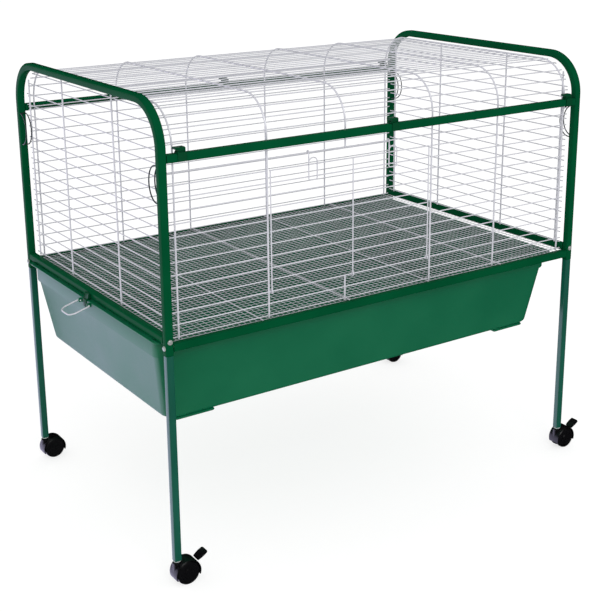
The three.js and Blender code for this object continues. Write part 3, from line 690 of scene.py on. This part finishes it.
def bail():
    """A U of wire that droops from the tray's ears."""
    lo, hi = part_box("tray_bail")
    x, z = hi.x - 2 * MM, hi.z - 2 * MM
    spread = (hi.y - lo.y) / 2 - 2.2 * MM
    reach = x - lo.x - 1.5 * MM
    bend, drop = 16 * MM, math.radians(16)
    flat = [(0, -spread + 9 * MM), (0, -spread + 1 * MM), (-1 * MM, -spread), (-reach * 0.55, -spread)]
    for i in range(1, 12):
        a = math.radians(90 * i / 12)
        flat.append((-reach + bend * (1 - math.sin(a)), -spread + bend * (1 - math.cos(a))))
    flat.append((-reach, 0))
    path = flat + [(p, -q) for p, q in reversed(flat[:-1])]
    shape = Shape().wire([(x + p * math.cos(drop), q, z + p * math.sin(drop)) for p, q in path], 1.5 * MM, 10)
    shape.make("tray_bail_wire", "bail", "panel_wire", "tray_bail")


def runner(side):
    """An angle strip under the tray's rim."""
    name = side + "_tray_runner"
    lo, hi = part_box(name)
    thick = 1.5 * MM
    near, far = (lo.y, lo.y + thick) if side == "front" else (hi.y - thick, hi.y)
    shape = Shape()
    shape.box((lo.x, near, lo.z), (hi.x, far, hi.z), 0.3 * MM)
    shape.box((lo.x, lo.y, hi.z - thick), (hi.x, hi.y, hi.z), 0.3 * MM)
    shape.make(name + "_strip", "stand", "frame_paint", name)


tray()
tray_latch()
bail()
runner("front")
runner("back")

# ------------------------------------------------------------------ casters
WHEEL, TRAIL = 24.5 * MM, 18 * MM
HOOD_INNER, HOOD_OUTER, HOOD_HALF = 25.8, 28, 16.2


def mirrored(half):
    """A profile of (radius, along) points, and its image back along the axis."""
    return half + [(r, -h) for r, h in reversed(half)]


def housing(n, c, body):
    """The hood over the wheels, the web between them, and the boss for the stem."""
    hub = (c.x + TRAIL, c.y, WHEEL)
    hood = [
        (HOOD_OUTER, HOOD_HALF - 3), (HOOD_OUTER - 0.3, HOOD_HALF - 1.4), (HOOD_OUTER - 1.6, HOOD_HALF),
        (HOOD_INNER + 0.4, HOOD_HALF), (HOOD_INNER, HOOD_HALF - 1),
    ]
    web = [(3.4, 3.5), (HOOD_INNER + 0.6, 3.5)]
    boss = ((3.9, 27), (9.2, 27), (9.6, 28), (9.2, 48.6), (8.2, 49.4), (3.9, 49.4))
    shape = Shape()
    shape.lathe(mm(mirrored(hood)), hub, "Y", 40, -0.35, math.pi + 0.7)
    shape.lathe(mm(mirrored(web)), hub, "Y", 40, -0.6, math.pi + 1.2)
    shape.lathe(mm(boss), (c.x, c.y, 0), "Z", 28)
    shape.make(n + "_caster_hood", body, "caster_plastic", n + "_caster_housing")


def stem(n, c, body):
    profile = ((0, 34), (3.9, 34), (3.9, 75), (3.2, 76), (0, 76))
    shape = Shape().lathe(mm(profile), (c.x, c.y, 0), "Z", 20)
    shape.make(n + "_caster_stem", body, "zinc", n + "_caster_housing")


def wheel_pair(n, c):
    hub, rim, inner, outer = (c.x + TRAIL, c.y, WHEEL), WHEEL / MM, 4.6, 15.6
    tread = [(rim - 1.5, inner), (rim - 0.4, inner + 0.6), (rim, inner + 2), (rim, outer - 4)]
    tread += [(rim - 0.8, outer - 1.6), (rim - 3, outer - 0.2), (rim - 6.5, outer), (rim - 7.2, outer - 1.2)]
    disc = [(9.5, outer - 1.6), (8.6, outer - 0.4), (6, outer), (3, outer)]
    profile = [(3, inner)] + tread + disc
    shape = Shape()
    for sy in (-1, 1):
        shape.lathe(mm((r, sy * h) for r, h in profile), hub, "Y", 48)
    shape.lathe(mm(((0, -15), (3, -15), (3, 15), (0, 15))), hub, "Y", 16)
    shape.make(n + "_wheel_pair", n + "_wheels", "caster_plastic", n + "_caster_wheels")


def collar(n, c):
    """The nylon socket in the leg's lower end, with its flange below it."""
    profile = ((4.6, -2.3), (7.6, -2.3), (8, -1.9), (8, -0.6), (7.6, -0.3), (6, -0.3), (6, 26), (4.6, 26))
    shape = Shape().lathe([(r, FOOT + h) for r, h in mm(profile)], (c.x, c.y, 0), "Z", 28)
    shape.make(n + "_caster_collar", "stand", "nylon", n + "_caster_socket")


def brake_lever(n, c):
    lo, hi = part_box(n + "_caster_brake")
    outline = (
        (0, 0), (8, 3.4), (15, 7), (22, 12), (21.6, 15), (19, 17), (13, 14.6), (8, 12), (2, 7.4), (-2, 4),
    )
    profile = [(lo.x + 2 * MM + x, lo.z + z) for x, z in mm(outline)]
    cx, cz = (sum(values) / len(profile) for values in zip(*profile))
    shape = Shape().rings([
        [(cx + (x - cx) * k, c.y + y * MM, cz + (z - cz) * k) for x, z in profile]
        for y, k in ((-9, 0.9), (-7.6, 0.99), (7.6, 0.99), (9, 0.9))
    ])
    shape.make(n + "_brake_lever", n + "_brake", "caster_plastic", n + "_caster_brake")


for n, c in AXIS.items():
    body = n + "_caster"
    housing(n, c, body)
    stem(n, c, body)
    wheel_pair(n, c)
    collar(n, c)
    if c.y < 0:
        brake_lever(n, c)


# ------------------------------------------------------------------ stage, light and camera
def ground_material():
    m = bpy.data.materials.new("ground")
    m.use_nodes = True
    inputs = m.node_tree.nodes["Principled BSDF"].inputs
    inputs["Base Color"].default_value = (0.3, 0.3, 0.3, 1)
    inputs["Roughness"].default_value = 1.0
    inputs["Specular IOR Level"].default_value = 0.0
    inputs["Emission Color"].default_value = (1, 1, 1, 1)
    inputs["Emission Strength"].default_value = 0.75
    return m


def lay_ground():
    """A pale floor that isn't seen in reflections."""
    mesh = bpy.data.meshes.new("ground")
    mesh.from_pydata([(-40, -40, 0), (40, -40, 0), (40, 40, 0), (-40, 40, 0)], [], [[0, 1, 2, 3]])
    mesh.materials.append(ground_material())
    ground = bpy.data.objects.new("ground", mesh)
    bpy.context.scene.collection.objects.link(ground)
    ground.visible_glossy = False


def light_world():
    """White light from all round, not seen in reflections."""
    world = bpy.data.worlds.new("studio")
    bpy.context.scene.world = world
    world.use_nodes = True
    background = world.node_tree.nodes["Background"]
    background.inputs["Color"].default_value = (1, 1, 1, 1)
    background.inputs["Strength"].default_value = 1.0
    world.cycles_visibility.glossy = False


def area(name, where, size, power, aim=(0, 0, 0.5), tint=(1, 1, 1)):
    light = bpy.data.lights.new(name, "AREA")
    light.shape = "RECTANGLE"
    light.size, light.size_y = size
    light.energy = power
    light.color = tint
    obj = bpy.data.objects.new(name, light)
    bpy.context.scene.collection.objects.link(obj)
    obj.location = where
    obj.rotation_mode = "QUATERNION"
    obj.rotation_quaternion = (Vector(aim) - Vector(where)).to_track_quat("-Z", "Y")


def place_camera():
    cam = bpy.data.cameras.new("camera")
    camera = bpy.data.objects.new("camera", cam)
    bpy.context.scene.collection.objects.link(camera)
    bpy.context.scene.camera = camera
    cam.sensor_width = 36
    cam.lens = 69.1
    cam.shift_y = -0.12
    cam.clip_end = 200
    corner = AXIS["front_left"]
    camera.location = Vector((corner.x - 0.9358, corner.y - 1.8341, FOOT + 1.2501))
    pitch, yaw, roll = math.radians(-15.943), math.radians(34.215), math.radians(-0.37)
    heading = Quaternion((0, 0, 1), -yaw)
    camera.rotation_mode = "QUATERNION"
    camera.rotation_quaternion = (
        heading @ Quaternion((1, 0, 0), math.pi / 2 + pitch) @ Quaternion((0, 0, 1), roll)
    )


lay_ground()
light_world()
area("key", (-1.2, -3.6, 3.0), (1.6, 1.6), 40)
# The light below floor level is there for its reflection in the faces on the left.
area("low_left", (-3.0, 3.2, -1.9), (8.0, 5.4), 250, (-0.55, -0.1, 0.42), (0.74, 0.7, 1.0))
bpy.context.scene.view_settings.view_transform = "Standard"
bpy.context.scene.view_settings.look = "None"
place_camera()
